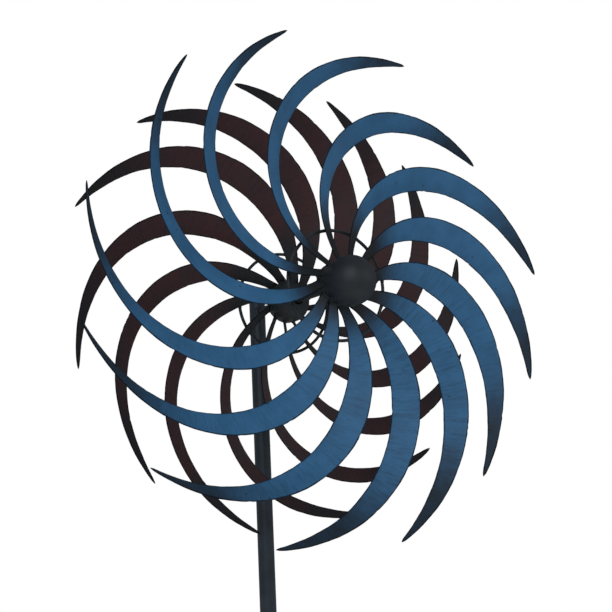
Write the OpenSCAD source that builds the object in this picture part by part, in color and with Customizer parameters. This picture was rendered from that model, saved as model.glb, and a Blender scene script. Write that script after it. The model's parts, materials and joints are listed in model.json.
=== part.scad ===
// Kinetic wind sculpture: two rotors of curved blades that turn opposite ways on
// one axle, on a head that swivels to the wind on a sectional garden pole.
// Millimetres. +Z is up, the rotors face -Y, and the origin is on the pole's
// centre line at ground level.

/* [Rotors] */
// Radius from the axle to the front rotor's blade tips
front_r = 305; // [280:1:320]
// Radius from the axle to the rear rotor's blade tips
rear_r = 292; // [270:1:310]
// Distance forward from the pole's centre line to the front blade roots
front_reach = 217; // [200:1:260]
// Distance forward from the pole's centre line to the rear blade roots
rear_reach = 90; // [80:1:105]
// Turn of the front rotor from its first blade pointing straight up
front_turn = -10; // [-180:0.5:180]
// Turn of the rear rotor from its first blade pointing straight up
rear_turn = -17; // [-180:0.5:180]
// Thickness of the blade sheet
sheet = 1; // [0.8:0.1:2]
// Radius of the wire rings that brace the blades
ring_r = 66; // [60:1:70]
// Thickness of the ring wire
ring_wire = 4; // [3:0.5:5]

/* [Hubs] */
// Radius of the front hub's domed cap
front_ball_r = 29.5; // [28.5:0.5:32]
// Radius of the rear hub's two domed shells
rear_ball_r = 27.5; // [27.5:0.5:32]
// Wall of the domed shells
dome_wall = 1.5; // [1:0.1:2]
// Diameter of the axle
axle_d = 8; // [7:1:9]
// Outside diameter of the spacer tubes on the axle
spacer_d = 11; // [10:0.5:11.5]

/* [Pole] */
// Height of the axle above the ground
axle_z = 1570; // [1200:10:1800]
// Outside diameter of the pole
pole_d = 22; // [22:1:25]
// Wall of the pole tubes
pole_wall = 1.5; // [1.2:0.1:2]
// Length of the spigots that join the pole sections
spigot = 60; // [40:5:80]
// Distance from the axle down to the swivel seam
seam_drop = 50; // [45:1:70]
// Length of the swivel spindle below the seam
spindle_l = 120; // [100:5:160]

/* [Ground fork] */
// Length of the straight part of the centre spike
spike_l = 230; // [180:10:300]
// Diameter of the centre spike
spike_d = 16; // [14:1:18]
// Length of the straight part of the side prongs
prong_l = 170; // [120:10:220]
// Distance between the side prongs
prong_gap = 156; // [120:4:200]

/* [Hidden] */
$fn = 96;
BLADES = 12;
STEP = 360 / BLADES;

// Blade outlines. A blade is drawn with its tip straight up. The centre line is a
// cubic curve through control points in fractions of the tip radius, [right, up].
// pitch is the sheet's angle at root, middle and tip, and arc is how far forward
// [middle, tip] stand of the root. All the blades share one width: [root, widest,
// tip], widest where BLADE_WIDEST says, kept full towards the tip by BLADE_FULLNESS.
FRONT_CURVE = [[-0.10, 0.06], [-0.55, 0.16], [-0.57, 0.81], [0, 1]];
FRONT_PITCH = [33, 42, 54];
FRONT_ARC = [-2, 1];
REAR_CURVE = [[-0.13, 0.01], [-0.61, 0.18], [-0.58, 0.82], [0, 1]];
REAR_PITCH = [46, 44, 42];
REAR_ARC = [-2, 16];
BLADE_WIDTH = [12, 34.5, 2];
BLADE_WIDEST = 0.38;
BLADE_FULLNESS = 0.7;

// Blades that stand out of true, as outdoor ones do: [blade, turn from its even
// place in degrees, how far forward its tip is bent in millimetres]
FRONT_BENT = [
    [1, -2, 10], [2, 0, 15], [3, 3, -20], [4, 5, 15], [5, 2, 10],
    [7, -2, 0], [8, -1, 0], [11, -2, -20], [12, 1, 15]
];
REAR_BENT = [
    [1, 2, 0], [3, 0, -10], [4, 2, 0], [5, 0, -10], [6, 0, -10], [7, -2, 0],
    [8, -1, 0], [9, -1, 15], [10, -1, 10], [11, 7, -20], [12, 2, 0]
];

// Tang that carries each blade's root into its hub
TANG_L = 12.5;
TANG_W = 12;
NECK_L = 7;
STATIONS = 26;
TIP_STATIONS = 3;
TIP_ROUND = 0.01;
TIP_BLUNT = 0.04;

// Bearings, of the 8 x 22 x 7 size
RACE_R = 11;
RACE_W = 7;
RACE_GAP = 14;
INNER_R = 5.8;
OUTER_IN_R = 9.1;
BALL_PITCH_R = 7.45;
BALL_R = 1.98;
GROOVE_R = 2.05;
BALLS = 7;
SHIELD_R = 6.4;
SHIELD_T = 0.5;

// Hubs, measured from the middle of each pair of bearings
HUB_AHEAD = 3;
front_mid = front_reach + HUB_AHEAD;
rear_mid = rear_reach;
BEARING_OUT = RACE_GAP / 2 + RACE_W;
SHOULDER_R = 9.5;
HUB_R = 27;
CORE_R = 13.5;
CORE_HALF = 15;
RIM_HALF = 7;
FRONT_HUB_BACK = 15;
FRONT_HUB_FRONT = 18;
CAP_SKIRT = 6;
SHELL_HOLE_R = 7.5;
// How far behind their roots the blades' back edges lie at the ring, and how deep
// the ring's wire is let into them
FRONT_EDGE_BACK = 6.2;
REAR_EDGE_BACK = 8.4;
RING_BITE = 0.1;
front_ring_y = front_reach - FRONT_EDGE_BACK - ring_wire / 2 + RING_BITE;
rear_ring_y = rear_reach - REAR_EDGE_BACK - ring_wire / 2 + RING_BITE;

// Head
POST_WALL = 2;
POST_TOP = 16;
BOSS_R = 8;
BOSS_END = 14;
PLUG_L = 30;
SPINDLE_R = 6;
CAP_T = 4;
CAP_STEM = 6;
CAP_CROWN = 2;
WASHER_T = 1.5;
NUT_AF = 13;
NUT_L = 8;
AXLE_SPARE = 2.5;
axle_r = axle_d / 2;
spacer_r = spacer_d / 2;
pole_r = pole_d / 2;
post_in_r = pole_r - POST_WALL;
axle_front = front_mid + BEARING_OUT + WASHER_T + NUT_L + AXLE_SPARE;
seam_z = axle_z - seam_drop;

// Swivel bushes and thrust ball
RUN = 0.05;
GAP = 0.4;
FLANGE_T = 2;
BUSH_L = 20;
THRUST_BALL_R = 4;
THRUST_L = 16;
bore_r = pole_r - pole_wall;
pole_top = seam_z - GAP - FLANGE_T;
spindle_end = seam_z - spindle_l;
thrust_z = spindle_end - GAP - THRUST_BALL_R;

// Pole and ground fork
COLLAR_TOP = 26;
BAR_T = 6;
BAR_W = 25;
SPIKE_TIP = 30;
SPIKE_END_R = 1.5;
PRONG_R = 4;
PRONG_TIP = 16;
PRONG_END_R = 1;
NECK = 1;
NECK_PRONG = 0.5;
WELD_GROOVE = 2;
SCREW_R = 2.1;
SCREW_HEAD_R = 4.2;
SCREW_HEAD_T = 2.4;
SCREW_UP = 25;
SPIGOT_WALL = 1.5;
section = (pole_top - COLLAR_TOP) / 3;
joint_1 = COLLAR_TOP + section;
joint_2 = COLLAR_TOP + 2 * section;

BLACK = [0.13, 0.15, 0.17];
BLUE = [0.18, 0.36, 0.53];
BURGUNDY = [0.2, 0.1, 0.11];
STEEL = [0.7, 0.71, 0.73];
NYLON = [0.9, 0.9, 0.87];

function blade_name(rotor, i) = str(rotor, "_blade_", i < 9 ? "0" : "", i + 1);

// ---- Helpers ----

// Puts its children on the axle, y in front of the pole, with their +Z forward
module on_axle(y) {
    translate([0, -y, axle_z])
    rotate([90, 0, 0])
    children();
}

// Tube or ring along +Z
module tube(r_out, r_in, h) {
    difference() {
        cylinder(r = r_out, h = h);
        translate([0, 0, -1]) cylinder(r = r_in, h = h + 2);
    }
}

module ring_of_balls() {
    for (i = [0:BALLS - 1]) {
        rotate([0, 0, i * 360 / BALLS])
        translate([BALL_PITCH_R, 0, RACE_W / 2])
        sphere(r = BALL_R);
    }
}

module ball_groove() {
    translate([0, 0, RACE_W / 2])
    rotate_extrude()
    translate([BALL_PITCH_R, 0])
    circle(r = GROOVE_R);
}

// Places one child at each bearing of the pair centred on y
module at_bearings(y) {
    on_axle(y - BEARING_OUT) children();
    on_axle(y + RACE_GAP / 2) children();
}

module inner_races(y) {
    at_bearings(y)
    difference() {
        tube(INNER_R, axle_r, RACE_W);
        ball_groove();
    }
}

module outer_races(y) {
    at_bearings(y) {
        difference() {
            tube(RACE_R, OUTER_IN_R, RACE_W);
            ball_groove();
        }
        tube(OUTER_IN_R, SHIELD_R, SHIELD_T);
        translate([0, 0, RACE_W - SHIELD_T]) tube(OUTER_IN_R, SHIELD_R, SHIELD_T);
    }
}

// Stepped bore that takes the two bearings, cut through from back to front
module bearing_bore(back, front) {
    translate([0, 0, -back - 1]) cylinder(r = SHOULDER_R, h = back + front + 2);
    translate([0, 0, -back - 1]) cylinder(r = RACE_R, h = back + 1 - RACE_GAP / 2);
    translate([0, 0, RACE_GAP / 2]) cylinder(r = RACE_R, h = front + 1);
}

// ---- Blades ----

function bezier(p, t) =
    pow(1 - t, 3) * p[0] + 3 * t * pow(1 - t, 2) * p[1]
    + 3 * t * t * (1 - t) * p[2] + pow(t, 3) * p[3];

function bezier_way(p, t) =
    pow(1 - t, 2) * (p[1] - p[0]) + 2 * t * (1 - t) * (p[2] - p[1])
    + t * t * (p[3] - p[2]);

// Value at t of the smooth curve through a at 0, b at 0.5 and c at 1
function through(a, b, c, t) =
    a * (1 - t) * (1 - 2 * t) + 4 * b * t * (1 - t) + c * t * (2 * t - 1);

function taper(t) =
    t < BLADE_WIDEST
    ? BLADE_WIDTH[0] + (BLADE_WIDTH[1] - BLADE_WIDTH[0]) * sin(90 * t / BLADE_WIDEST)
    : BLADE_WIDTH[2] + (BLADE_WIDTH[1] - BLADE_WIDTH[2])
        * pow(sin(90 * (1 - t) / (1 - BLADE_WIDEST)), BLADE_FULLNESS);

// Evenly spaced stations along the blade, then a few close ones round the tip
function station_at(i) =
    i < STATIONS - TIP_STATIONS
    ? (1 - TIP_ROUND) * i / (STATIONS - TIP_STATIONS)
    : 1 - TIP_ROUND * pow((STATIONS - i) / TIP_STATIONS, 2);

function rounding(t) =
    t < 1 - TIP_ROUND
    ? 1
    : sqrt(max(TIP_BLUNT, 1 - pow((t - 1 + TIP_ROUND) / TIP_ROUND, 2)));

// Four corners of the sheet about the point at, heading along way in the plane of
// the rotor, with the convex edge turned forward by pitch
function section_at(at, way, out, w, pitch) =
    let (
        d = way / norm(way),
        side = [-d[1] * cos(pitch), -sin(pitch), d[0] * cos(pitch)],
        face = [d[1] * sin(pitch), -cos(pitch), -d[0] * sin(pitch)],
        mid = [at[0], -out, at[1]]
    )
    [
        mid + side * w / 2 + face * sheet / 2,
        mid + side * w / 2 - face * sheet / 2,
        mid - side * w / 2 - face * sheet / 2,
        mid - side * w / 2 + face * sheet / 2
    ];

function blade_sections(r, curve, pitch, arc, lean) =
    let (
        p = r * curve,
        way = bezier_way(p, 0),
        back = way / norm(way)
    )
    concat(
        [
            for (s = [TANG_L, NECK_L])
            section_at(p[0] - back * s, way, 0, TANG_W, pitch[0])
        ],
        [
            for (i = [0:STATIONS])
            let (t = station_at(i))
            section_at(
                bezier(p, t),
                bezier_way(p, t),
                through(0, arc[0], arc[1], t) + lean * t * t,
                taper(t) * rounding(t),
                through(pitch[0], pitch[1], pitch[2], t)
            )
        ]
    );

// [turn, forward bend] of blade i
function bend_of(bent, i) =
    let (found = [for (b = bent) if (b[0] == i + 1) b])
    len(found) > 0 ? [found[0][1], found[0][2]] : [0, 0];

module strip(sections) {
    n = len(sections);
    polyhedron(
        points = [for (s = sections) each s],
        faces = concat(
            [[0, 1, 2], [0, 2, 3]],
            [[4 * n - 4, 4 * n - 2, 4 * n - 3], [4 * n - 4, 4 * n - 1, 4 * n - 2]],
            [
                for (i = [0:n - 2], j = [0:3])
                let (a = 4 * i + j, b = 4 * i + (j + 1) % 4)
                each [[a, a + 4, b + 4], [a, b + 4, b]]
            ]
        )
    );
}

module front_blade(i) {
    bend = bend_of(FRONT_BENT, i);
    color(BLUE)
    translate([0, -front_reach, axle_z])
    rotate([0, front_turn + i * STEP + bend[0], 0])
    strip(blade_sections(front_r, FRONT_CURVE, FRONT_PITCH, FRONT_ARC, bend[1]));
}

module rear_blade(i) {
    bend = bend_of(REAR_BENT, i);
    color(BURGUNDY)
    translate([0, -rear_reach, axle_z])
    rotate([0, rear_turn + i * STEP + bend[0], 0])
    mirror([1, 0, 0])
    strip(blade_sections(rear_r, REAR_CURVE, REAR_PITCH, REAR_ARC, bend[1]));
}

// ---- Rotors ----

module brace_ring(y) {
    color(BLACK)
    on_axle(y)
    rotate_extrude()
    translate([ring_r, 0])
    circle(d = ring_wire);
}

module rear_ring() {
    brace_ring(rear_ring_y);
}

module front_ring() {
    brace_ring(front_ring_y);
}

// Drum that the rear blades are let into, round the tube that holds the bearings
module rear_hub() {
    color(BLACK)
    on_axle(rear_mid)
    difference() {
        union() {
            translate([0, 0, -RIM_HALF]) cylinder(r = HUB_R, h = 2 * RIM_HALF);
            translate([0, 0, -CORE_HALF]) cylinder(r = CORE_R, h = 2 * CORE_HALF);
        }
        bearing_bore(CORE_HALF, CORE_HALF);
    }
}

// Half ball that covers one face of the rear hub, open round the spacer tube
module rear_shell() {
    difference() {
        intersection() {
            sphere(r = rear_ball_r);
            translate([0, 0, RIM_HALF]) cylinder(r = rear_ball_r + 1, h = rear_ball_r);
        }
        sphere(r = rear_ball_r - dome_wall);
        cylinder(r = SHELL_HOLE_R, h = rear_ball_r + 1);
    }
}

module rear_hub_front_shell() {
    color(BLACK)
    on_axle(rear_mid)
    rear_shell();
}

module rear_hub_back_shell() {
    color(BLACK)
    on_axle(rear_mid)
    mirror([0, 0, 1])
    rear_shell();
}

// Drum that the front blades are let into
module front_hub() {
    color(BLACK)
    on_axle(front_mid)
    difference() {
        translate([0, 0, -FRONT_HUB_BACK])
        cylinder(r = HUB_R, h = FRONT_HUB_BACK + FRONT_HUB_FRONT);
        bearing_bore(FRONT_HUB_BACK, FRONT_HUB_FRONT);
    }
}

// Half ball with a short skirt that presses over the front hub
module front_hub_cap() {
    color(BLACK)
    on_axle(front_mid + FRONT_HUB_FRONT)
    difference() {
        union() {
            sphere(r = front_ball_r);
            translate([0, 0, -CAP_SKIRT]) cylinder(r = front_ball_r, h = CAP_SKIRT);
        }
        sphere(r = front_ball_r - dome_wall);
        translate([0, 0, -front_ball_r - 1]) cylinder(r = HUB_R, h = front_ball_r + 1);
        translate([0, 0, -front_ball_r - CAP_SKIRT])
        cylinder(r = front_ball_r + 1, h = front_ball_r);
    }
}

module rear_bearing_inners() {
    color(STEEL) inner_races(rear_mid);
}

module front_bearing_inners() {
    color(STEEL) inner_races(front_mid);
}

module rear_bearing_outers() {
    color(STEEL) outer_races(rear_mid);
}

module front_bearing_outers() {
    color(STEEL) outer_races(front_mid);
}

module rear_bearing_balls() {
    color(STEEL) at_bearings(rear_mid) ring_of_balls();
}

module front_bearing_balls() {
    color(STEEL) at_bearings(front_mid) ring_of_balls();
}

// ---- Head ----

// Short length of pole tube with the axle welded through it
module head_post() {
    color(BLACK)
    difference() {
        union() {
            translate([0, 0, seam_z]) cylinder(r = pole_r, h = seam_drop + POST_TOP);
            on_axle(0) cylinder(r = BOSS_R, h = BOSS_END);
        }
        translate([0, 0, seam_z - 1])
        cylinder(r = post_in_r, h = seam_drop + POST_TOP + 2);
        on_axle(-pole_r - 1) cylinder(r = axle_r, h = pole_d + BOSS_END);
    }
}

module post_plug() {
    color(STEEL)
    translate([0, 0, seam_z])
    tube(post_in_r, SPINDLE_R, PLUG_L);
}

module post_cap() {
    color(BLACK)
    translate([0, 0, axle_z + POST_TOP]) {
        intersection() {
            cylinder(r = pole_r, h = CAP_T);
            translate([0, 0, CAP_T - CAP_CROWN * pole_r]) sphere(r = CAP_CROWN * pole_r);
        }
        translate([0, 0, -CAP_STEM]) cylinder(r = post_in_r, h = CAP_STEM);
    }
}

module swivel_spindle() {
    color(STEEL)
    translate([0, 0, spindle_end])
    cylinder(r = SPINDLE_R, h = spindle_l + PLUG_L);
}

module axle() {
    color(STEEL)
    on_axle(-pole_r)
    cylinder(r = axle_r, h = axle_front + pole_r);
}

module spacer(from, to) {
    color(BLACK)
    on_axle(from)
    tube(spacer_r, axle_r, to - from);
}

module rear_spacer() {
    spacer(BOSS_END, rear_mid - BEARING_OUT);
}

module middle_spacer() {
    spacer(rear_mid + BEARING_OUT, front_mid - BEARING_OUT);
}

module bearing_spacers() {
    spacer(rear_mid - RACE_GAP / 2, rear_mid + RACE_GAP / 2);
    spacer(front_mid - RACE_GAP / 2, front_mid + RACE_GAP / 2);
}

module nut_washer() {
    color(STEEL)
    on_axle(front_mid + BEARING_OUT)
    tube(INNER_R, axle_r, WASHER_T);
}

module lock_nut() {
    color(STEEL)
    on_axle(front_mid + BEARING_OUT + WASHER_T)
    difference() {
        cylinder(d = NUT_AF / cos(30), h = NUT_L, $fn = 6);
        translate([0, 0, -1]) cylinder(r = axle_r, h = NUT_L + 2);
    }
}

// ---- Swivel, pole and ground fork ----

module upper_swivel_bush() {
    color(NYLON)
    translate([0, 0, pole_top])
    difference() {
        union() {
            cylinder(r = pole_r, h = FLANGE_T);
            translate([0, 0, -BUSH_L]) cylinder(r = bore_r, h = BUSH_L);
        }
        translate([0, 0, -BUSH_L - 1])
        cylinder(r = SPINDLE_R + RUN, h = BUSH_L + FLANGE_T + 2);
    }
}

module lower_swivel_bush() {
    color(NYLON)
    translate([0, 0, spindle_end + BUSH_L / 2])
    tube(bore_r, SPINDLE_R + RUN, BUSH_L);
}

module thrust_plug() {
    color(STEEL)
    translate([0, 0, thrust_z - THRUST_L])
    difference() {
        cylinder(r = bore_r, h = THRUST_L);
        translate([0, 0, THRUST_L - THRUST_BALL_R])
        cylinder(r = THRUST_BALL_R + RUN, h = THRUST_BALL_R + 1);
    }
}

module thrust_ball() {
    color(STEEL)
    translate([0, 0, thrust_z])
    sphere(r = THRUST_BALL_R);
}

// Pole tube from z0 to z1 with a screw hole near its foot, and a spigot above it
module pole_section(z0, z1, spigot_l) {
    neck_r = bore_r - SPIGOT_WALL;
    color(BLACK)
    difference() {
        rotate_extrude()
        polygon(
            spigot_l > 0
            ? [
                [bore_r, z0], [pole_r, z0], [pole_r, z1], [bore_r, z1],
                [bore_r, z1 + spigot_l], [neck_r, z1 + spigot_l],
                [neck_r, z1 - SPIGOT_WALL], [bore_r, z1 - SPIGOT_WALL]
            ]
            : [[bore_r, z0], [pole_r, z0], [pole_r, z1], [bore_r, z1]]
        );
        screw_hole(z0);
        screw_hole(z1);
    }
}

// Hole towards +Y for the screw above the joint at height z
module screw_hole(z) {
    translate([0, 0, z + SCREW_UP])
    rotate([-90, 0, 0])
    cylinder(r = SCREW_R, h = pole_r + 1);
}

module lower_pole() {
    pole_section(COLLAR_TOP, joint_1, spigot);
}

module middle_pole() {
    pole_section(joint_1, joint_2, spigot);
}

module upper_pole() {
    pole_section(joint_2, pole_top, 0);
}

module pole_screws() {
    color(STEEL)
    for (z = [COLLAR_TOP, joint_1, joint_2]) {
        translate([0, 0, z + SCREW_UP])
        rotate([-90, 0, 0]) {
            translate([0, 0, bore_r - SPIGOT_WALL])
            cylinder(r = SCREW_R, h = pole_r - bore_r + SPIGOT_WALL);
            translate([0, 0, pole_r]) cylinder(r = SCREW_HEAD_R, h = SCREW_HEAD_T);
        }
    }
}

// Turned spike: spigot into the pole, collar on the bar, and the point below
module ground_spike() {
    spike_r = spike_d / 2;
    color(BLACK)
    difference() {
        rotate_extrude()
        polygon([
            [0, -spike_l - SPIKE_TIP], [SPIKE_END_R, -spike_l - SPIKE_TIP],
            [spike_r, -spike_l], [spike_r, 0], [spike_r - NECK, 0],
            [spike_r - NECK, BAR_T], [pole_r, BAR_T], [pole_r, COLLAR_TOP],
            [bore_r, COLLAR_TOP], [bore_r, COLLAR_TOP + spigot], [0, COLLAR_TOP + spigot]
        ]);
        translate([0, bore_r - SPIGOT_WALL, COLLAR_TOP + SCREW_UP])
        rotate([-90, 0, 0])
        cylinder(r = SCREW_R, h = pole_r);
    }
}

// Hole for a rod's neck, countersunk below for its weld so that the groove clears the rod
module rod_hole(x, rod_r, neck_r) {
    slope = (rod_r + 1 - neck_r) / WELD_GROOVE;
    translate([x, 0, -1]) cylinder(r = neck_r, h = BAR_T + 2);
    translate([x, 0, -1])
    cylinder(r1 = rod_r + 1 + slope, r2 = neck_r, h = WELD_GROOVE + 1);
}

module foot_bar() {
    color(BLACK)
    difference() {
        union() {
            translate([-prong_gap / 2, -BAR_W / 2, 0]) cube([prong_gap, BAR_W, BAR_T]);
            for (x = [-prong_gap / 2, prong_gap / 2]) {
                translate([x, 0, 0]) cylinder(d = BAR_W, h = BAR_T);
            }
        }
        rod_hole(0, spike_d / 2, spike_d / 2 - NECK);
        for (x = [-prong_gap / 2, prong_gap / 2]) {
            rod_hole(x, PRONG_R, PRONG_R - NECK_PRONG);
        }
    }
}

module prong(x) {
    color(BLACK)
    translate([x, 0, 0])
    rotate_extrude()
    polygon([
        [0, -prong_l - PRONG_TIP], [PRONG_END_R, -prong_l - PRONG_TIP], [PRONG_R, -prong_l],
        [PRONG_R, 0], [PRONG_R - NECK_PRONG, 0], [PRONG_R - NECK_PRONG, BAR_T], [0, BAR_T]
    ]);
}

module left_prong() {
    prong(-prong_gap / 2);
}

module right_prong() {
    prong(prong_gap / 2);
}

// ---- Nodes ----

ground_spike();
foot_bar();
left_prong();
right_prong();
lower_pole();
middle_pole();
upper_pole();
pole_screws();
upper_swivel_bush();
lower_swivel_bush();
thrust_plug();
thrust_ball();
head_post();
post_plug();
post_cap();
swivel_spindle();
axle();
rear_spacer();
middle_spacer();
bearing_spacers();
nut_washer();
lock_nut();
rear_bearing_inners();
front_bearing_inners();
rear_hub();
rear_hub_front_shell();
rear_hub_back_shell();
rear_bearing_outers();
rear_bearing_balls();
rear_ring();
front_hub();
front_hub_cap();
front_bearing_outers();
front_bearing_balls();
front_ring();
for (i = [0:BLADES - 1]) {
    rear_blade(i);
    front_blade(i);
}
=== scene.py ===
"""Kinetic wind sculpture: the looks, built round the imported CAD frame.

Metres, in the CAD's frame: +Z up, the rotors face -Y, the origin is on the pole's
centre line at ground level.
"""

import json
import math

import bmesh
import bpy
import numpy as np
from mathutils import Matrix, Vector


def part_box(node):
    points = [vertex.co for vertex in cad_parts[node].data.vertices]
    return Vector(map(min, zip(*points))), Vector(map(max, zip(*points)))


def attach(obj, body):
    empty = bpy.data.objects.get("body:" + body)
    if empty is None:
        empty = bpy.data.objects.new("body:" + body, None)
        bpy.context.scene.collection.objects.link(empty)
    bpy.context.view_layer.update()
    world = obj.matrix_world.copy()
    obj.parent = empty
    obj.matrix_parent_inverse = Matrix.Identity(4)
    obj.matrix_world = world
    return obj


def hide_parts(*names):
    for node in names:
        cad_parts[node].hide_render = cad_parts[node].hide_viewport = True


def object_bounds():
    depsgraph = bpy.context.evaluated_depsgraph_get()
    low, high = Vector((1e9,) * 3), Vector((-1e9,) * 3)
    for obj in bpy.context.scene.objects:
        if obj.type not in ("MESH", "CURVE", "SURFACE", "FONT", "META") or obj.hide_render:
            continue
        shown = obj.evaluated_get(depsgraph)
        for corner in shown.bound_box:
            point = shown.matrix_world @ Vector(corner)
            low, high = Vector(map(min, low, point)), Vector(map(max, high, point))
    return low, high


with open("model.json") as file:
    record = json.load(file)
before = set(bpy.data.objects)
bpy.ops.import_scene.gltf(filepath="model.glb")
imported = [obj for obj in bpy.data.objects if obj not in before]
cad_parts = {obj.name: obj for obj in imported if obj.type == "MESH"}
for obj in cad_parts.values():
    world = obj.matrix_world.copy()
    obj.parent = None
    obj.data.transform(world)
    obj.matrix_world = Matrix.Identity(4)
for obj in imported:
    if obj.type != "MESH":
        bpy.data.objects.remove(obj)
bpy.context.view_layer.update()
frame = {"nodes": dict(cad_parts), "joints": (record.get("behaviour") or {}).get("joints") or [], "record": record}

MM = 0.001
BLADES = 12
JOINTS = {j["name"]: j for j in frame["joints"]}
AXLE_Z = JOINTS["front_spin"]["pos_m"][2]
nodes = frame["nodes"]


# ---- Camera, at the photograph's viewing angle ----

CAMERA_TURN = math.radians(-30.7)
CAMERA_PITCH = math.radians(9.3)
CAMERA_ROLL = math.radians(2.7)
CAMERA_AWAY = 1.0793
CAMERA_SIDE = -0.0685
CAMERA_RISE = -0.0094
CAMERA_LENS = 45.06


def make_camera():
    turn = (
        Matrix.Rotation(CAMERA_TURN, 3, "Z")
        @ Matrix.Rotation(CAMERA_PITCH, 3, "X")
        @ Matrix.Rotation(CAMERA_ROLL, 3, "Y")
    )
    right, ahead, up = turn.col[0], turn.col[1], turn.col[2]
    camera = bpy.data.objects.new("camera", bpy.data.cameras.new("camera"))
    camera.data.lens = CAMERA_LENS
    camera.data.sensor_width = 36
    camera.data.clip_start = 0.02
    pose = Matrix((right, up, -ahead)).transposed().to_4x4()
    pose.translation = (
        Vector((0, 0, AXLE_Z))
        - CAMERA_AWAY * ahead
        - CAMERA_SIDE * right
        - CAMERA_RISE * up
    )
    camera.matrix_world = pose
    bpy.context.scene.collection.objects.link(camera)
    bpy.context.scene.camera = camera


make_camera()


# ---- Node helpers ----


class Nodes:
    """Short way to build a material's node tree."""

    def __init__(self, name):
        self.material = bpy.data.materials.new(name)
        self.material.use_nodes = True
        self.tree = self.material.node_tree
        self.shader = self.tree.nodes["Principled BSDF"]

    def add(self, kind, **settings):
        node = self.tree.nodes.new(kind)
        for key, value in settings.items():
            setattr(node, key, value)
        return node

    def feed(self, socket, value):
        if isinstance(value, bpy.types.NodeSocket):
            self.tree.links.new(value, socket)
        else:
            socket.default_value = value

    def math(self, operation, a, b=0.0, clamp=False):
        node = self.add("ShaderNodeMath", operation=operation, use_clamp=clamp)
        self.feed(node.inputs[0], a)
        self.feed(node.inputs[1], b)
        return node.outputs[0]

    def ramp(self, value, low, high):
        """0 below low, 1 above high, smooth between; low may be the greater."""
        node = self.add("ShaderNodeMapRange", interpolation_type="SMOOTHSTEP")
        rising = high > low
        self.feed(node.inputs["Value"], value)
        node.inputs["From Min"].default_value = low if rising else high
        node.inputs["From Max"].default_value = high if rising else low
        node.inputs["To Min"].default_value = 0 if rising else 1
        node.inputs["To Max"].default_value = 1 if rising else 0
        return node.outputs["Result"]

    def mix(self, share, a, b):
        node = self.add("ShaderNodeMix", data_type="RGBA")
        self.feed(node.inputs["Factor"], share)
        self.feed(node.inputs[6], a)
        self.feed(node.inputs[7], b)
        return node.outputs[2]

    def stretched(self, vector, scale):
        node = self.add("ShaderNodeMapping")
        self.feed(node.inputs["Vector"], vector)
        node.inputs["Scale"].default_value = scale
        return node.outputs["Vector"]

    def noise(self, vector, scale, detail=2.0, rough=0.5):
        node = self.add("ShaderNodeTexNoise")
        self.feed(node.inputs["Vector"], vector)
        node.inputs["Scale"].default_value = scale
        node.inputs["Detail"].default_value = detail
        node.inputs["Roughness"].default_value = rough
        return node.outputs["Fac"]

    def place(self):
        return self.add("ShaderNodeTexCoord").outputs["Object"]

    def attribute(self, name):
        return self.add("ShaderNodeAttribute", attribute_name=name).outputs["Vector"]

    def parts(self, vector):
        node = self.add("ShaderNodeSeparateXYZ")
        self.feed(node.inputs[0], vector)
        return node.outputs

    def bump(self, height, distance, strength=1.0):
        node = self.add("ShaderNodeBump")
        node.inputs["Strength"].default_value = strength
        node.inputs["Distance"].default_value = distance
        self.feed(node.inputs["Height"], height)
        self.feed(self.shader.inputs["Normal"], node.outputs["Normal"])


def linear(*srgb):
    """A colour given as 0 to 255 screen values, as a shader takes it."""
    share = [v / 255 for v in srgb]
    flat = [v / 12.92 if v <= 0.04045 else ((v + 0.055) / 1.055) ** 2.4 for v in share]
    return (*flat, 1.0)


# ---- Materials ----

BLACK_COAT = linear(24, 28, 32)
BLADE_SHINE = 0.22
# How fine the wear is along the blade and across it
STREAK_SCALE = (1300, 120, 1)
BROAD_SCALE = (260, 30, 1)


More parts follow.
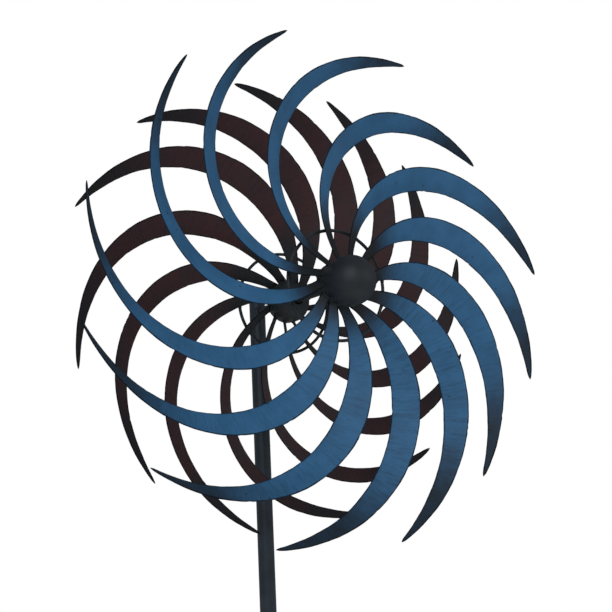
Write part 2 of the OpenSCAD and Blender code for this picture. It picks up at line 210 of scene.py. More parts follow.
def blade_paint(name, colour, second, streak, gloss):
    """Sprayed sheet: colour that fades to black at the root, the tip and the edges.

    The attribute sheet holds, in metres, the place along the blade and across it, and
    the distance in from the edge. fades holds how much of the black at root and tip
    covers the point, and how worn the blade is. grain is the same place, set apart for
    each blade.
    """
    n = Nodes(name)
    sheet = n.parts(n.attribute("sheet"))
    fades = n.parts(n.attribute("fades"))
    grain = n.attribute("grain")
    cloud = n.noise(grain, 28, 3)
    streaks = n.noise(n.stretched(grain, STREAK_SCALE), 1.0, 3, 0.65)
    broad = n.noise(n.stretched(grain, BROAD_SCALE), 1.0, 2)
    tone = n.mix(n.ramp(cloud, 0.3, 0.7), colour, second)
    worn = n.math("MULTIPLY", fades[2], streak)
    tone = n.mix(n.math("MULTIPLY", n.ramp(streaks, 0.42, 0.72), worn), tone, BLACK_COAT)
    tone = n.mix(n.math("MULTIPLY", n.ramp(broad, 0.45, 0.75), worn), tone, BLACK_COAT)
    speck = n.add("ShaderNodeTexVoronoi", feature="F1")
    n.feed(speck.inputs["Vector"], grain)
    speck.inputs["Scale"].default_value = 95
    chosen = n.noise(grain, 60, 1)
    spots = n.math("MULTIPLY", n.ramp(speck.outputs["Distance"], 0.17, 0.08), n.ramp(chosen, 0.56, 0.62))
    tone = n.mix(n.math("MULTIPLY", spots, 0.75), tone, BLACK_COAT)
    ragged = n.math("MULTIPLY", n.math("SUBTRACT", n.noise(grain, 240, 3), 0.5), 0.0016)
    edge = n.ramp(n.math("ADD", sheet[2], ragged), 0.0020, 0.0005)
    tone = n.mix(n.math("MULTIPLY", edge, 0.9), tone, BLACK_COAT)
    mottle = n.math("MULTIPLY", n.math("SUBTRACT", n.noise(grain, 70, 3), 0.5), 0.5)
    black = n.math("ADD", fades[0], n.math("MULTIPLY", mottle, fades[1]), clamp=True)
    tone = n.mix(black, tone, BLACK_COAT)
    n.feed(n.shader.inputs["Base Color"], tone)
    n.feed(n.shader.inputs["Roughness"], n.math("ADD", n.math("MULTIPLY", cloud, 0.16), gloss))
    shine = n.math("MULTIPLY", n.math("SUBTRACT", 1.0, edge), BLADE_SHINE)
    n.feed(n.shader.inputs["Specular IOR Level"], shine)
    n.bump(n.math("ADD", streaks, n.math("MULTIPLY", n.noise(grain, 1100, 2), 0.6)), 0.00008)
    return n.material


def black_coat(name, colour, rough=0.42):
    """Powder coat: fine orange peel, faint clouds of tone."""
    n = Nodes(name)
    place = n.place()
    cloud = n.noise(place, 40, 3)
    lighter = tuple(min(1.0, c * 1.45) for c in colour[:3]) + (1.0,)
    n.feed(n.shader.inputs["Base Color"], n.mix(n.ramp(cloud, 0.35, 0.7), colour, lighter))
    n.feed(n.shader.inputs["Roughness"], n.math("ADD", n.math("MULTIPLY", cloud, 0.14), rough - 0.07))
    n.shader.inputs["Specular IOR Level"].default_value = 0.3
    n.bump(n.noise(place, 900, 3), 0.00006)
    return n.material


def bare_metal(name, colour, rough, brushed):
    """Plated or ground steel with a lay along the axle or round it."""
    n = Nodes(name)
    place = n.place()
    lay = n.noise(n.stretched(place, brushed), 1.0, 3)
    cloud = n.noise(place, 55, 2)
    dull = tuple(c * 0.72 for c in colour[:3]) + (1.0,)
    n.feed(n.shader.inputs["Base Color"], n.mix(n.ramp(cloud, 0.4, 0.75), colour, dull))
    n.shader.inputs["Metallic"].default_value = 1.0
    n.feed(n.shader.inputs["Roughness"], n.math("ADD", n.math("MULTIPLY", lay, 0.18), rough - 0.09))
    n.bump(lay, 0.00003)
    return n.material


def moulded(name, colour, rough):
    """Moulded plastic: fine even grain."""
    n = Nodes(name)
    place = n.place()
    cloud = n.noise(place, 60, 2)
    darker = tuple(c * 0.86 for c in colour[:3]) + (1.0,)
    n.feed(n.shader.inputs["Base Color"], n.mix(cloud, colour, darker))
    n.feed(n.shader.inputs["Roughness"], n.math("ADD", n.math("MULTIPLY", cloud, 0.1), rough - 0.05))
    n.bump(n.noise(place, 1400, 2), 0.00004)
    return n.material


BLUE = blade_paint("blue_blades", linear(46, 93, 131), linear(52, 103, 144), 0.30, 0.48)
BURGUNDY = blade_paint("burgundy_blades", linear(54, 36, 40), linear(64, 36, 38), 0.6, 0.5)
POLE_COAT = black_coat("pole_paint", linear(31, 40, 48))
HUB_COAT = black_coat("hub_paint", linear(25, 30, 34), 0.52)
ZINC = bare_metal("zinc_steel", linear(176, 178, 182), 0.36, (60, 900, 900))
RACE = bare_metal("bearing_steel", linear(196, 198, 203), 0.2, (900, 60, 900))
NYLON = moulded("nylon", linear(228, 227, 216), 0.5)
PLASTIC = moulded("black_plastic", linear(30, 33, 36), 0.55)
BY_SLOT = {
    "blue_blades": BLUE,
    "burgundy_blades": BURGUNDY,
    "pole_paint": POLE_COAT,
    "hub_paint": HUB_COAT,
    "zinc_steel": ZINC,
    "bearing_steel": RACE,
    "nylon": NYLON,
    "black_plastic": PLASTIC,
}
SLOT_OF = {s["node"]: s["material_slot"] for s in frame["record"]["subparts"]}


def finish_nodes():
    """The record's finish on every CAD node, shown or not."""
    for name, node in nodes.items():
        node.data.materials.clear()
        node.data.materials.append(BY_SLOT[SLOT_OF[name]])


finish_nodes()


# ---- Mesh helpers ----


def add_piece(name, verts, faces, slot, body, replaced=(), smooth=True):
    mesh = bpy.data.meshes.new(name)
    mesh.from_pydata([tuple(v) for v in verts], [], faces)
    mesh.validate()
    mesh.polygons.foreach_set("use_smooth", [smooth] * len(mesh.polygons))
    piece = bpy.data.objects.new(name, mesh)
    bpy.context.scene.collection.objects.link(piece)
    piece.data.materials.append(BY_SLOT[slot])
    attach(piece, body)
    if replaced:
        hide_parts(*replaced)
    return piece


def rounded(profile, steps=5):
    """Corners of a profile of (radius, height, fillet) points turned into arcs."""
    made = []
    count = len(profile)
    for i, (r, h, fillet) in enumerate(profile):
        here = np.array([r, h], float)
        if fillet <= 0:
            made.append(here)
            continue
        before = np.array(profile[i - 1][:2], float) - here
        after = np.array(profile[(i + 1) % count][:2], float) - here
        a, b = before / np.linalg.norm(before), after / np.linalg.norm(after)
        half = math.acos(np.clip(a @ b, -1, 1)) / 2
        reach = min(fillet / math.tan(half), np.linalg.norm(before) / 2, np.linalg.norm(after) / 2)
        for k in range(steps + 1):
            t = k / steps
            made.append(
                (1 - t) ** 2 * (here + a * reach) + 2 * t * (1 - t) * here + t**2 * (here + b * reach)
            )
    return made


def arc(centre, radius, start, end, steps):
    """Points of an arc in a profile, angles in degrees from the radius axis."""
    return [
        np.array([
            centre[0] + radius * math.cos(math.radians(start + (end - start) * k / steps)),
            centre[1] + radius * math.sin(math.radians(start + (end - start) * k / steps)),
        ])
        for k in range(steps + 1)
    ]


def lathe(profile, turn=None, sides=96):
    """Closed profile of (radius, height) turned about +Z; turn maps it into place."""
    verts, faces, rings = [], [], []
    for r, h in profile:
        if r < 1e-7:
            rings.append([len(verts)])
            verts.append((0, 0, h))
            continue
        rings.append(list(range(len(verts), len(verts) + sides)))
        for k in range(sides):
            a = 2 * math.pi * k / sides
            verts.append((r * math.cos(a), r * math.sin(a), h))
    for i, ring in enumerate(rings):
        other = rings[(i + 1) % len(rings)]
        if len(ring) == 1 and len(other) == 1:
            continue
        for k in range(sides):
            j = (k + 1) % sides
            if len(ring) == 1:
                faces.append((ring[0], other[j], other[k]))
            elif len(other) == 1:
                faces.append((ring[k], ring[j], other[0]))
            else:
                faces.append((ring[k], ring[j], other[j], other[k]))
    if turn is not None:
        verts = [turn @ Vector(v) for v in verts]
    return verts, faces


def along_axle(y):
    """Puts a lathed shape on the axle, its +Z forward, from y in front of the pole."""
    return Matrix.Translation((0, -y, AXLE_Z)) @ Matrix.Rotation(math.radians(90), 4, "X")


UPRIGHT = Matrix.Identity(4)


def outward(verts, faces):
    """The same faces, all turned outward."""
    bm = bmesh.new()
    made = [bm.verts.new(v) for v in verts]
    for f in faces:
        bm.faces.new([made[i] for i in f])
    bmesh.ops.recalc_face_normals(bm, faces=bm.faces)
    bm.verts.index_update()
    faces = [[v.index for v in f.verts] for f in bm.faces]
    bm.free()
    return verts, faces


def turned(name, profile, turn, slot, body, replaced=(), sides=96):
    verts, faces = outward(*lathe(profile, turn, sides))
    return add_piece(name, verts, faces, slot, body, replaced)


# ---- Blades ----

# bent holds the blades that stand out of true, as in the CAD: the blade's number, then
# its turn from its even place in degrees and how far forward its tip is bent in
# millimetres.
FRONT = {
    "reach": 0.217, "radius": 0.305, "turn": -10, "mirror": 1,
    "curve": [(-0.10, 0.06), (-0.55, 0.16), (-0.57, 0.81), (0, 1)],
    "pitch": (33, 42, 54), "arc": (-0.002, 0.001),
    "bent": {
        1: (-2, 10), 2: (0, 15), 3: (3, -20), 4: (5, 15), 5: (2, 10), 7: (-2, 0),
        8: (-1, 0), 11: (-2, -20), 12: (1, 15),
    },
}
REAR = {
    "reach": 0.090, "radius": 0.292, "turn": -17, "mirror": -1,
    "curve": [(-0.13, 0.01), (-0.61, 0.18), (-0.58, 0.82), (0, 1)],
    "pitch": (46, 44, 42), "arc": (-0.002, 0.016),
    "bent": {
        1: (2, 0), 3: (0, -10), 4: (2, 0), 5: (0, -10), 6: (0, -10), 7: (-2, 0),
        8: (-1, 0), 9: (-1, 15), 10: (-1, 10), 11: (7, -20), 12: (2, 0),
    },
}
SHEET = 0.001
WIDTH = (0.012, 0.0345, 0.002)
WIDEST = 0.38
FULLNESS = 0.7
TANG = (0.0125, 0.007)
TANG_WIDTH = 0.012
TIP_ROUND = 0.01
TIP_BLUNT = 0.04
ROOT_FADE = 0.028
TIP_FADE = 0.060
TIP_SHADE = 0.86
STATIONS = 110
TIP_STATIONS = 14
ACROSS = 8
EDGE_STEPS = 5


def through(a, b, c, t):
    return a * (1 - t) * (1 - 2 * t) + 4 * b * t * (1 - t) + c * t * (2 * t - 1)


def stations():
    body = np.linspace(0, 1 - TIP_ROUND, STATIONS)
    tip = 1 - TIP_ROUND * np.linspace(1, 0, TIP_STATIONS + 1)[1:] ** 2
    return np.concatenate([body, tip])


def centre_line(kind, t):
    """Points and directions of the blade's centre line, in the rotor's plane."""
    p = np.array(kind["curve"]) * kind["radius"]
    t = t[:, None]
    at = (1 - t) ** 3 * p[0] + 3 * t * (1 - t) ** 2 * p[1] + 3 * t**2 * (1 - t) * p[2] + t**3 * p[3]
    way = (1 - t) ** 2 * (p[1] - p[0]) + 2 * t * (1 - t) * (p[2] - p[1]) + t**2 * (p[3] - p[2])
    return at, way / np.linalg.norm(way, axis=1)[:, None]


def sheet_width(t):
    root, most, tip = WIDTH
    rise = np.sin(np.pi / 2 * np.minimum(t / WIDEST, 1))
    fall = np.sin(np.pi / 2 * np.minimum((1 - t) / (1 - WIDEST), 1)) ** FULLNESS
    width = np.where(t < WIDEST, root + (most - root) * rise, tip + (most - tip) * fall)
    into = np.clip((t - 1 + TIP_ROUND) / TIP_ROUND, 0, 1)
    return width * np.sqrt(np.maximum(TIP_BLUNT, 1 - into**2))


def waver(along, seed):
    """Small unevenness of a sheared and ground edge, in metres."""
    rng = np.random.default_rng(seed)
    made = np.zeros_like(along)
    for length, size in ((0.09, 0.00022), (0.034, 0.00012), (0.012, 0.00007)):
        made += size * np.sin(2 * np.pi * (along / length + rng.random()))
    for _ in range(3):
        place = rng.uniform(0.08, 0.34)
        made -= 0.0006 * np.exp(-(((along - place) / 0.0018) ** 2))
    return made


def section(width, left, right):
    """Cross-section of the sheet: flat faces joined by round edges, as (across, up)."""
    half = SHEET / 2
    flat = np.linspace(1, -1, ACROSS + 1)
    lo, hi = -(width / 2 - half) - left, (width / 2 - half) + right
    middle, reach = (lo + hi) / 2, (hi - lo) / 2
    top = [(middle + reach * f, half) for f in flat]
    bottom = [(middle - reach * f, -half) for f in flat]
    turn = [math.pi / 2 + math.pi * (k + 1) / (EDGE_STEPS + 1) for k in range(EDGE_STEPS)]
    left_edge = [(lo + half * math.cos(a), half * math.sin(a)) for a in turn]
    right_edge = [(hi - half * math.cos(a), -half * math.sin(a)) for a in turn]
    return top + left_edge + bottom + right_edge


def bend_of(kind, i):
    return kind["bent"].get(i + 1, (0, 0))


def finish_of(kind, i, seed):
    """Where along blade i the root's black ends and the tip's starts, and its wear."""
    if kind["mirror"] < 0:
        return 0.055, 0.300, 0.6
    rng = np.random.default_rng(seed + 1000)
    angle = 2 * math.pi * (i + 1) / BLADES
    root = 0.036 + 0.020 * math.cos(angle - math.radians(120)) + rng.uniform(-0.005, 0.005)
    tip = 0.295 + 0.025 * math.cos(angle - math.radians(60)) + rng.uniform(-0.015, 0.015)
    worn = 0.15 + 0.85 * (0.5 + 0.5 * math.cos(angle - math.radians(240))) ** 2
    return root, tip, worn


def make_blade(kind, i, slot, body, prefix):
    t = stations()
    at, way = centre_line(kind, t)
    turned_by, bent_by = bend_of(kind, i)
    forward = through(0, kind["arc"][0], kind["arc"][1], t) + bent_by * MM * t**2
    pitch = np.radians(through(*kind["pitch"], t))
    width = sheet_width(t)
    # The tang, which runs back into the hub behind the root
    back = way[0]
    at = np.concatenate([[at[0] - back * s for s in TANG], at])
    way = np.concatenate([[back, back], way])
    forward = np.concatenate([[0, 0], forward])
    pitch = np.concatenate([[pitch[0]] * 2, pitch])
    width = np.concatenate([[TANG_WIDTH] * 2, width])
    at3 = np.c_[at[:, 0], -forward, at[:, 1]]
    side = np.c_[-way[:, 1] * np.cos(pitch), -np.sin(pitch), way[:, 0] * np.cos(pitch)]
    face = np.c_[way[:, 1] * np.sin(pitch), -np.cos(pitch), -way[:, 0] * np.sin(pitch)]
    step = np.linalg.norm(np.diff(at3, axis=0), axis=1)
    along = np.concatenate([[0], np.cumsum(step)]) - TANG[0]
    calm = np.clip((along - 0.02) / 0.03, 0, 1) * np.clip((along[-1] - along) / 0.01, 0, 1)
    seed = 101 * (i + 1) + (7 if kind["mirror"] < 0 else 0)
    left, right = waver(along, seed) * calm, waver(along, seed + 50) * calm
    turn = Matrix.Rotation(math.radians(kind["turn"] + i * 360 / BLADES + turned_by), 3, "Y")
    root_end, tip_start, worn = finish_of(kind, i, seed)
    flip = np.array([kind["mirror"], 1, 1])
    verts, sheet, fades, grain = [], [], [], []
    for k in range(len(at3)):
        for across, up in section(width[k], left[k], right[k]):
            local = (at3[k] + side[k] * across + face[k] * up) * flip
            verts.append(tuple(np.array(turn) @ local + np.array([0, -kind["reach"], AXLE_Z])))
            inset = max(0.0, width[k] / 2 - abs(across))
            root = 1 - smooth_step(along[k], root_end, ROOT_FADE)
            tip = TIP_SHADE * smooth_step(along[k], tip_start, TIP_FADE)
            black = max(root, tip)
            sheet.append((along[k], across, inset))
            fades.append((black, 4 * black * (1 - black), worn))
            grain.append((along[k] + 0.71 * i, across + 0.13 * i, up + 0.37 * i))
    size = len(verts) // len(at3)
    faces = [
        (k * size + j, k * size + (j + 1) % size, (k + 1) * size + (j + 1) % size, (k + 1) * size + j)
        for k in range(len(at3) - 1)
        for j in range(size)
    ]
    faces.append(tuple(range(size)))
    faces.append(tuple(reversed(range(len(verts) - size, len(verts)))))
    verts, faces = outward(verts, faces)
    name = f"{prefix}_blade_{i + 1:02d}"
    piece = add_piece(name + "_sheet", verts, faces, slot, body, [name])
    for key, values in (("sheet", sheet), ("fades", fades), ("grain", grain)):
        made = piece.data.attributes.new(key, "FLOAT_VECTOR", "POINT")
        made.data.foreach_set("vector", np.array(values, np.float32).ravel())


def smooth_step(value, middle, spread):
    t = min(1.0, max(0.0, (value - middle + spread) / (2 * spread)))
    return t * t * (3 - 2 * t)


for i in range(BLADES):
    make_blade(FRONT, i, "blue_blades", "front_rotor", "front")
    make_blade(REAR, i, "burgundy_blades", "rear_rotor", "rear")


# ---- Turned parts ----


def box_mm(node):
    """A CAD node's box in millimetres, to a tenth, as [[x, x], [y, y], [z, z]]."""
    low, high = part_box(node)
    return [[round(a / MM, 1), round(b / MM, 1)] for a, b in zip(low, high)]


def middle_y(node):
    """How far in front of the pole's centre line the middle of a CAD node is."""
    return -sum(box_mm(node)[1]) / 2


# Hubs, bearings and axle, in millimetres. The lengths of hubs and bearings run from the
# middle of the hub's two bearings.
HUB_BACK = 15
HUB_FRONT = 18
DRUM_R = 27
RIM_HALF = 7
CORE_R = 13.5
CORE_HALF = 15
BEARING_R = 11
SHOULDER_R = 9.5
BEARING_NEAR = 7
BEARING_FAR = 14
BALL_R = 29.5
SHELL_R = 27.5
SHELL_HOLE_R = 7.5
DOME_WALL = 1.5
CAP_SKIRT = 6
AXLE_R = 4
SPACER_R = 5.5
BOSS_R = 8
BOSS_END = 14
# Pole, post and fork
WALL = 1.5
SPIGOT = 60
POST_BORE_R = 9
CAP_T = 4
CAP_CROWN_R = 22
CAP_STEM = 6
SCREW_UP = 25
SCREW_R = 2.1
SPIKE_R = 8
SPIKE_NECK_R = 7
SPIKE_L = 230
SPIKE_END = 260
PRONG_R = 4
PRONG_NECK_R = 3.5
PRONG_L = 170
PRONG_END = 186
# Places and sizes that the CAD gives
FRONT_MID = -box_mm("front_hub")[1][1] + HUB_BACK
REAR_MID = middle_y("rear_hub")
BALL_Y = FRONT_MID + HUB_FRONT
POLE_R = box_mm("lower_pole")[0][1]
BORE_R = POLE_R - WALL
POLE_FOOT = box_mm("lower_pole")[2][0]
POLE_TOP = box_mm("upper_pole")[2][1]
SECTION = (POLE_TOP - POLE_FOOT) / 3
SEAM_Z, HEAD_TOP = box_mm("head_post")[2]
FRONT_RING_Y = middle_y("front_ring")
REAR_RING_Y = middle_y("rear_ring")
WIRE_R = -box_mm("front_ring")[1][0] - FRONT_RING_Y
RING_R = box_mm("front_ring")[0][1] - WIRE_R
BAR_T = box_mm("foot_bar")[2][1]
BAR_W = 2 * box_mm("foot_bar")[1][1]
PRONG_X = sum(box_mm("right_prong")[0]) / 2


def mm(points):
    return [np.asarray(p, float) * MM for p in points]


def corners(*profile, steps=5):
    """A profile in millimetres of (radius, height, fillet), as points in metres."""
    return mm(rounded(profile, steps))


def place_mm(y):
    return along_axle(y * MM)


def hub_cap():
    inner_r = BALL_R - DOME_WALL
    outside = arc((0, 0), BALL_R, 0, 90, 40)[:-1] + [np.array([0, BALL_R])]
    inside = [np.array([0, inner_r])] + arc((0, 0), inner_r, 90, 0, 24)[1:]
    brim = [
        np.array([27.35, -CAP_SKIRT]),
        np.array([28.9, -CAP_SKIRT]),
        np.array([29.32, -5.82]),
        np.array([BALL_R, -5.4]),
    ]
    turned("hub_ball", mm(outside + inside + brim), place_mm(BALL_Y), "hub_paint", "front_rotor",
           ["front_hub_cap"], 160)


def rear_shell(name, node, front):
    """Half ball from just off the drum's rim to the hole round the spacer tube."""
    outside = arc((0, 0), SHELL_R, 15.2, 73.4, 30)
    lip = [np.array([7.9, 26.4]), np.array([SHELL_HOLE_R, 26.0]), np.array([SHELL_HOLE_R, 24.9])]
    inside = arc((0, 0), SHELL_R - DOME_WALL, 73.2, 16.2, 20)
    foot = [np.array([25.04, RIM_HALF]), np.array([26.2, RIM_HALF])]
    turn = place_mm(REAR_MID)
    if not front:
        turn = turn @ Matrix.Rotation(math.pi, 4, "X")
    turned(name, mm(outside + lip + inside + foot), turn, "hub_paint", "rear_rotor", [node], 144)


def drums():
    """Each drum's outline, bored from both faces for its two bearings."""
    shoulder = [
        (BEARING_R, BEARING_NEAR, 0), (SHOULDER_R, BEARING_NEAR, 0),
        (SHOULDER_R, -BEARING_NEAR, 0), (BEARING_R, -BEARING_NEAR, 0),
    ]
    front = [(DRUM_R, -HUB_BACK, 1.5), (DRUM_R, HUB_FRONT, 0.3), (BEARING_R, HUB_FRONT, 0.3)]
    front += shoulder + [(BEARING_R, -HUB_BACK, 0.5)]
    turned("front_drum", corners(*front), place_mm(FRONT_MID), "hub_paint", "front_rotor",
           ["front_hub"], 144)
    rear = [(DRUM_R, -RIM_HALF, 0.6), (DRUM_R, RIM_HALF, 0.6), (CORE_R, RIM_HALF, 0)]
    rear += [(CORE_R, CORE_HALF, 0.4), (BEARING_R, CORE_HALF, 0.3)]
    rear += shoulder + [(BEARING_R, -CORE_HALF, 0.3), (CORE_R, -CORE_HALF, 0.4), (CORE_R, -RIM_HALF, 0)]
    turned("rear_drum", corners(*rear), place_mm(REAR_MID), "hub_paint", "rear_rotor",
           ["rear_hub"], 144)


def hubs():
    drums()
    hub_cap()
    rear_shell("front_half_ball", "rear_hub_front_shell", True)
    rear_shell("back_half_ball", "rear_hub_back_shell", False)


def wire_ring(name, node, y, slot_name, body):
    profile = [np.array([RING_R, 0]) + WIRE_R * np.array([math.cos(a), math.sin(a)])
               for a in np.linspace(0, 2 * math.pi, 24, endpoint=False)]
    turned(name, mm(profile), place_mm(y), slot_name, body, [node], 192)


def spacer_tube(name, node, start, end):
    length = end - start
    turned(name, corners((SPACER_R, 0, 0.35), (SPACER_R, length, 0.35),
                         (AXLE_R, length, 0.2), (AXLE_R, 0, 0.2)),
           place_mm(start), "hub_paint", "head", [node], 64)


def pole_piece(name, node, z0, z1, spigot):
    neck = BORE_R - WALL
    profile = [(POLE_R, z0, 0.5), (POLE_R, z1, 0.5)]
    if spigot:
        profile += [(BORE_R, z1, 0), (BORE_R, z1 + spigot, 1), (neck, z1 + spigot, 0),
                    (neck, z1 - WALL, 0), (BORE_R, z1 - WALL, 0)]
    else:
        profile += [(BORE_R, z1, 0)]
    profile += [(BORE_R, z0, 0)]
    turned(name, corners(*profile), UPRIGHT, "pole_paint", "stand", [node], 96)


def rod_piece(name, node, x, profile, sides=64):
    turned(name, corners(*profile), Matrix.Translation((x * MM, 0, 0)), "pole_paint", "stand",
           [node], sides)


def prong(name, node, x):
    rod_piece(name, node, x, [
        (0, -PRONG_END, 0), (1, -PRONG_END, 0.5), (PRONG_R, -PRONG_L, 3), (PRONG_R, 0, 0.3),
        (PRONG_NECK_R, 0, 0), (PRONG_NECK_R, BAR_T, 0.4), (0, BAR_T, 0),
    ])


def turned_stand():
    pole_piece("pole_tube_low", "lower_pole", POLE_FOOT, POLE_FOOT + SECTION, SPIGOT)
    pole_piece("pole_tube_middle", "middle_pole", POLE_FOOT + SECTION, POLE_FOOT + 2 * SECTION, SPIGOT)
    pole_piece("pole_tube_top", "upper_pole", POLE_FOOT + 2 * SECTION, POLE_TOP, 0)
    rod_piece("spike_with_collar", "ground_spike", 0, [
        (0, -SPIKE_END, 0), (1.5, -SPIKE_END, 0.8), (SPIKE_R, -SPIKE_L, 6), (SPIKE_R, 0, 0.4),
        (SPIKE_NECK_R, 0, 0), (SPIKE_NECK_R, BAR_T, 0), (POLE_R, BAR_T, 1), (POLE_R, POLE_FOOT, 0.8),
        (BORE_R, POLE_FOOT, 0), (BORE_R, POLE_FOOT + SPIGOT, 1), (0, POLE_FOOT + SPIGOT, 0),
    ], 96)
    prong("prong_left", "left_prong", -PRONG_X)
    prong("prong_right", "right_prong", PRONG_X)


def post():
    outline = [(POLE_R, SEAM_Z, 0.5), (POLE_R, HEAD_TOP, 0.5), (POST_BORE_R, HEAD_TOP, 0)]
    outline += [(POST_BORE_R, SEAM_Z, 0)]
    turned("post_tube", corners(*outline), UPRIGHT, "pole_paint", "head", ["head_post"], 96)
    boss = [(BOSS_R, 0, 0), (BOSS_R, BOSS_END, 0.5), (AXLE_R, BOSS_END, 0.2), (AXLE_R, 0, 0)]
    turned("axle_boss", corners(*boss), place_mm(0), "pole_paint", "head", (), 64)


def cap():
    top, crown_z = HEAD_TOP, HEAD_TOP + CAP_T - CAP_CROWN_R
    crown = [
        np.array([CAP_CROWN_R * math.sin(a), crown_z + CAP_CROWN_R * math.cos(a)])
        for a in np.linspace(0.49, 0, 12)
    ]
    rim = [
        np.array([POST_BORE_R, top]), np.array([10.8, top]),
        np.array([POLE_R, top + 0.2]), np.array([POLE_R, top + 0.75]),
    ]
    stem = [
        np.array([0, top - CAP_STEM]), np.array([8.6, top - CAP_STEM]),
        np.array([POST_BORE_R, top - 5.4]),
    ]
    turned("cap_dome", mm(stem + rim + crown), UPRIGHT, "black_plastic", "head", ["post_cap"], 96)


def turned_head():
    post()
    cap()
    spacer_tube("spacer_tube_rear", "rear_spacer", BOSS_END, REAR_MID - BEARING_FAR)
    spacer_tube("spacer_tube_middle", "middle_spacer", REAR_MID + BEARING_FAR, FRONT_MID - BEARING_FAR)


# ---- Screws, bar and welds ----


def button_head(centre_z):
    """Round-headed screw with a six-sided socket, facing +Y."""
    sides, verts, faces = 48, [], []

    def circle(r, h, flats=False):
        ring = []
        for k in range(sides):
            a = 2 * math.pi * k / sides
            reach = r / math.cos((a + math.pi / 6) % (math.pi / 3) - math.pi / 6) if flats else r
            ring.append(len(verts))
            x, z = reach * math.cos(a) * MM, reach * math.sin(a) * MM
            verts.append((x, (POLE_R + h) * MM, centre_z * MM + z))
        return ring

    rings = [
        circle(SCREW_R, -2 * WALL), circle(SCREW_R, 0),
        circle(4.0, 0), circle(4.2, 0.2), circle(4.2, 0.7), circle(4.0, 1.25),
        circle(3.5, 1.8), circle(2.9, 2.2), circle(2.3, 2.38), circle(1.75, 2.4),
        circle(1.3, 2.4, True), circle(1.22, 2.3, True), circle(1.22, 0.9, True), circle(0.6, 0.7, True),
    ]
    for low, high in zip(rings, rings[1:]):
        faces += [(low[k], low[(k + 1) % sides], high[(k + 1) % sides], high[k]) for k in range(sides)]
    faces.append(tuple(reversed(rings[0])))
    faces.append(tuple(rings[-1]))
    return verts, faces


def joined(parts):
    """Several (verts, faces) as one."""
    verts, faces = [], []
    for v, f in parts:
        faces += [tuple(i + len(verts) for i in face) for face in f]
        verts += [tuple(p) for p in v]
    return verts, faces


def screws():
    feet = [POLE_FOOT + k * SECTION for k in range(3)]
    heads = [outward(*button_head(z + SCREW_UP)) for z in feet]
    add_piece("socket_screws", *joined(heads), "zinc_steel", "stand", ["pole_screws"])


def bar():
    """Flat bar with round ends and eased edges, left solid where the rods pass through it."""
    half, per_end, ease = BAR_W / 2, 24, 0.8
    rings, verts, faces = [], [], []

    def outline(inset, z):
        ring = []
        for end in (1, -1):
            for k in range(per_end + 1):
                a = math.pi * (k / per_end - 0.5)
                x = end * (PRONG_X + (half - inset) * math.cos(a))
                y = end * (half - inset) * math.sin(a)
                ring.append(len(verts))
                verts.append((x * MM, y * MM, z * MM))
        return ring

    low_edge = [(ease, 0), (0.25, 0.2), (0, 0.7)]
    high_edge = [(0, BAR_T - 0.7), (0.25, BAR_T - 0.2), (ease, BAR_T)]
    for inset, z in low_edge + high_edge:
        rings.append(outline(inset, z))
    count = len(rings[0])
    for low, high in zip(rings, rings[1:]):
        faces += [(low[k], low[(k + 1) % count], high[(k + 1) % count], high[k]) for k in range(count)]
    faces.append(tuple(reversed(rings[0])))
    faces.append(tuple(rings[-1]))
    add_piece("fork_bar", *outward(verts, faces), "pole_paint", "stand", ["foot_bar"], False)


def bead(path, radius, seed, closed=False, sides=10):
    """Weld bead along a path, all in millimetres: a lumpy round rope with rounded ends."""
    rng = np.random.default_rng(seed)
    path = np.asarray(path, float)
    count = len(path)
    ahead = np.roll(path, -1, 0) - np.roll(path, 1, 0)
    if not closed:
        ahead[0], ahead[-1] = path[1] - path[0], path[-1] - path[-2]
    ahead /= np.linalg.norm(ahead, axis=1)[:, None]
    step = np.linalg.norm(np.diff(path, axis=0), axis=1).sum() / (count - 1)
    ripple = 1 + 0.1 * np.sin(np.arange(count) * step * 2 * np.pi / 1.7) + rng.normal(0, 0.04, count)
    reach = radius * ripple
    if not closed:
        from_end = np.minimum(np.arange(count), count - 1 - np.arange(count)) * step
        reach = reach * np.sqrt(np.clip(1 - (1 - np.clip(from_end / radius, 0, 1)) ** 2, 0.02, 1))
    verts, faces = [], []
    aside = np.cross(ahead[0], [0.3, 0.5, 0.8])
    for k in range(count):
        aside = aside - ahead[k] * (aside @ ahead[k])
        aside /= np.linalg.norm(aside)
        other = np.cross(ahead[k], aside)
        for j in range(sides):
            a = 2 * math.pi * j / sides
            verts.append((path[k] + reach[k] * (aside * math.cos(a) + other * math.sin(a))) * MM)
    last = count if closed else count - 1
    for k in range(last):
        for j in range(sides):
            a, b = k * sides, ((k + 1) % count) * sides
            faces.append((a + j, a + (j + 1) % sides, b + (j + 1) % sides, b + j))
    if not closed:
        faces.append(tuple(range(sides)))
        faces.append(tuple(reversed(range(len(verts) - sides, len(verts)))))
    return outward(verts, faces)


def circle_path(r, z, x=0, count=48):
    around = np.linspace(0, 2 * math.pi, count, endpoint=False)
    return [(x + r * math.cos(a), r * math.sin(a), z) for a in around]


def fork_welds():
    parts = [
        bead(circle_path(SPIKE_R + 0.3, 0.9), 0.9, 1, True),
        bead(circle_path(POLE_R + 0.2, BAR_T + 0.3), 0.9, 2, True),
    ]
    for n, x in enumerate((-PRONG_X, PRONG_X)):
        parts.append(bead(circle_path(PRONG_R + 0.2, 0.8, x, 32), 0.7, 3 + n, True))
        parts.append(bead(circle_path(PRONG_NECK_R + 0.2, BAR_T, x, 32), 0.7, 5 + n, True))
    add_piece("fork_weld_beads", *joined(parts), "pole_paint", "stand")


